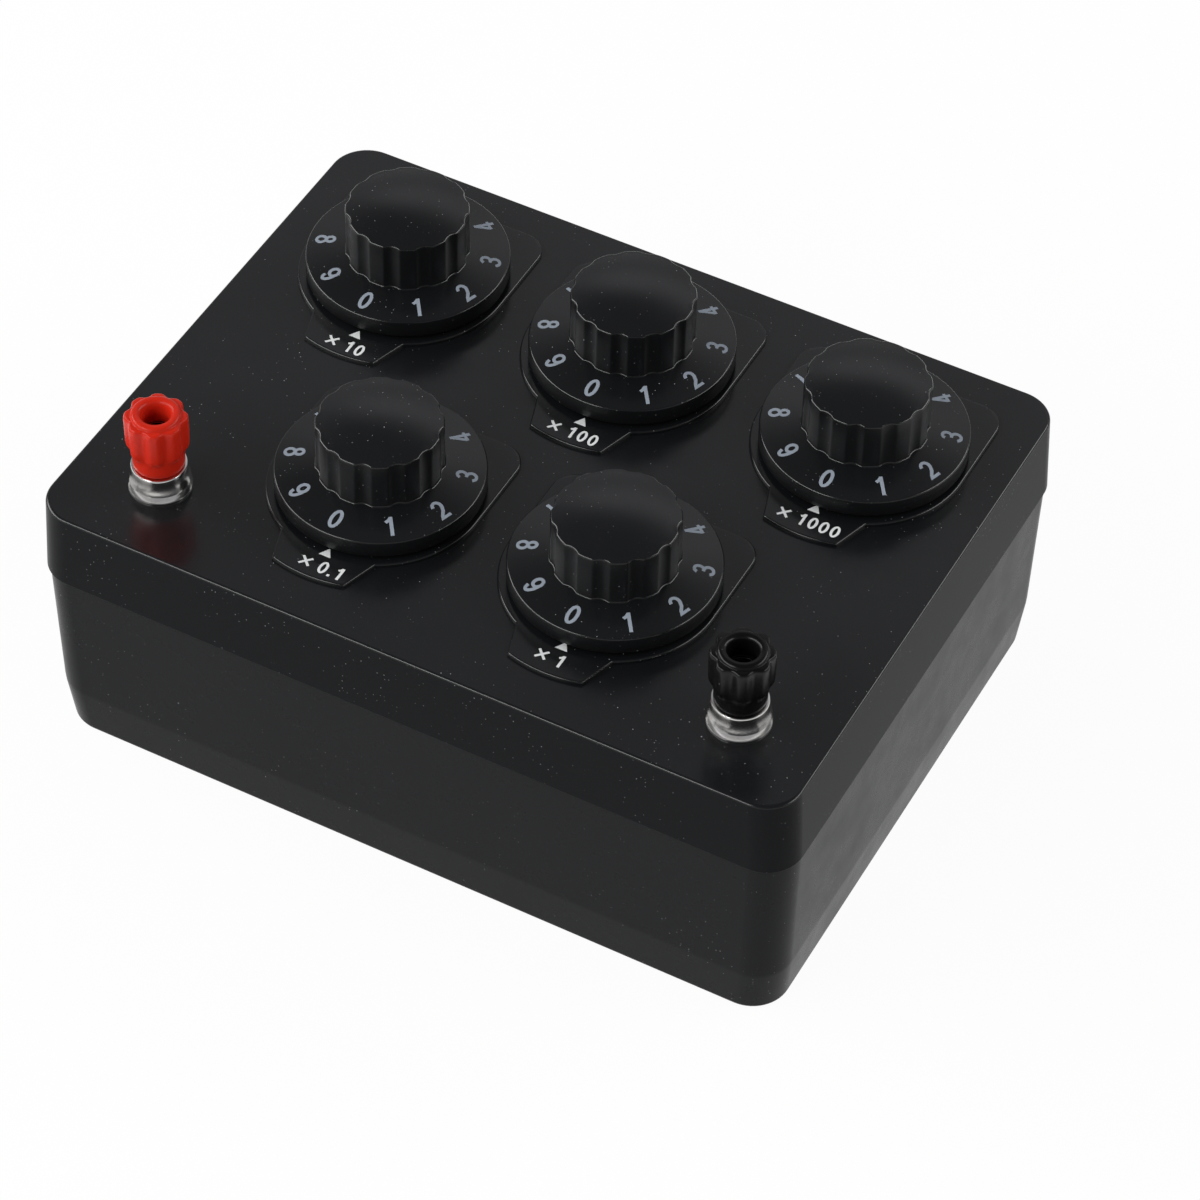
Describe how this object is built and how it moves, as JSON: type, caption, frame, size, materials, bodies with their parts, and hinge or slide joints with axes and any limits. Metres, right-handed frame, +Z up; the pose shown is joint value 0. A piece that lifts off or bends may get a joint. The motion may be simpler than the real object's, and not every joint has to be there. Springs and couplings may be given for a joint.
{
  "type": "decade resistance box",
  "caption": "Black plastic box with skirted, fluted decade dials on moulded plates and a red and a black binding post; sets a resistance in decimal steps.",
  "frame": {"origin": "centre of the case's footprint, on the table", "axes": "+X to the right along the long front edge with the binding posts, +Y to the back, +Z up"},
  "size_m": [0.137, 0.1028, 0.0676],
  "materials": {
    "case_plastic": "semi-gloss moulded ABS",
    "plate_plastic": "semi-gloss moulded ABS",
    "knob_plastic": "semi-gloss moulded ABS",
    "red_cap": "glossy red plastic",
    "black_cap": "glossy black plastic",
    "nickel": "bright nickel plate",
    "brass": "turned",
    "spring_bronze": "rolled strip",
    "steel": "zinc plated",
    "phenolic": "moulded phenolic",
    "laminate": "punched paper laminate",
    "nylon": "moulded nylon",
    "resistor": "lacquered",
    "wire": "PVC covered wire"
  },
  "bodies": {
    "case": {"top_cover": "case_plastic", "base_shell": "case_plastic", "case_screws": "steel", "switch_contacts": "brass", "bush_nuts": "nickel", "bush_washers": "nickel", "post_collars": "nickel", "post_studs": "nickel", "post_tags": "nickel", "post_nuts": "nickel", "hookup_wires": "wire", "dial_plate_tenths": "plate_plastic", "switch_bush_tenths": "nickel", "switch_body_tenths": "phenolic", "contact_wafer_tenths": "laminate", "resistors_tenths": "resistor", "dial_plate_units": "plate_plastic", "switch_bush_units": "nickel", "switch_body_units": "phenolic", "contact_wafer_units": "laminate", "resistors_units": "resistor", "dial_plate_tens": "plate_plastic", "switch_bush_tens": "nickel", "switch_body_tens": "phenolic", "contact_wafer_tens": "laminate", "resistors_tens": "resistor", "dial_plate_hundreds": "plate_plastic", "switch_bush_hundreds": "nickel", "switch_body_hundreds": "phenolic", "contact_wafer_hundreds": "laminate", "resistors_hundreds": "resistor", "dial_plate_thousands": "plate_plastic", "switch_bush_thousands": "nickel", "switch_body_thousands": "phenolic", "contact_wafer_thousands": "laminate", "resistors_thousands": "resistor"},
    "tenths_dial": {"knob_tenths": "knob_plastic", "switch_shaft_tenths": "brass", "rotor_tenths": "nylon", "wiper_tenths": "spring_bronze"},
    "units_dial": {"knob_units": "knob_plastic", "switch_shaft_units": "brass", "rotor_units": "nylon", "wiper_units": "spring_bronze"},
    "tens_dial": {"knob_tens": "knob_plastic", "switch_shaft_tens": "brass", "rotor_tens": "nylon", "wiper_tens": "spring_bronze"},
    "hundreds_dial": {"knob_hundreds": "knob_plastic", "switch_shaft_hundreds": "brass", "rotor_hundreds": "nylon", "wiper_hundreds": "spring_bronze"},
    "thousands_dial": {"knob_thousands": "knob_plastic", "switch_shaft_thousands": "brass", "rotor_thousands": "nylon", "wiper_thousands": "spring_bronze"},
    "red_insert": {"post_insert_red": "brass"},
    "red_cap": {"post_cap_red": "red_cap"},
    "black_insert": {"post_insert_black": "brass"},
    "black_cap": {"post_cap_black": "black_cap"}
  },
  "joints": [
    {"name": "tenths_turn", "type": "hinge", "parent": "case", "child": "tenths_dial", "pos_m": [-0.02092, -0.01975, 0.0526], "axis": [0, 0, 1], "continuous": true},
    {"name": "units_turn", "type": "hinge", "parent": "case", "child": "units_dial", "pos_m": [0.02183, -0.01975, 0.0526], "axis": [0, 0, 1], "continuous": true},
    {"name": "tens_turn", "type": "hinge", "parent": "case", "child": "tens_dial", "pos_m": [-0.0423, 0.02635, 0.0526], "axis": [0, 0, 1], "continuous": true},
    {"name": "hundreds_turn", "type": "hinge", "parent": "case", "child": "hundreds_dial", "pos_m": [0.00045, 0.02635, 0.0526], "axis": [0, 0, 1], "continuous": true},
    {"name": "thousands_turn", "type": "hinge", "parent": "case", "child": "thousands_dial", "pos_m": [0.0432, 0.02635, 0.0526], "axis": [0, 0, 1], "continuous": true},
    {"name": "red_lift", "type": "slide", "parent": "case", "child": "red_insert", "axis": [0, 0, 1], "range_m": [0, 0.0042]},
    {"name": "red_unscrew", "type": "hinge", "parent": "red_insert", "child": "red_cap", "pos_m": [-0.0524, -0.0363, 0.0561], "axis": [0, 0, 1], "range_deg": [0, 2160]},
    {"name": "black_lift", "type": "slide", "parent": "case", "child": "black_insert", "axis": [0, 0, 1], "range_m": [0, 0.0042]},
    {"name": "black_unscrew", "type": "hinge", "parent": "black_insert", "child": "black_cap", "pos_m": [0.0524, -0.0363, 0.0561], "axis": [0, 0, 1], "range_deg": [0, 2160]}
  ],
  "couplings": [
    {"joint": "red_unscrew", "follows": "red_lift", "rad_per_m": 8976},
    {"joint": "black_unscrew", "follows": "black_lift", "rad_per_m": 8976}
  ]
}
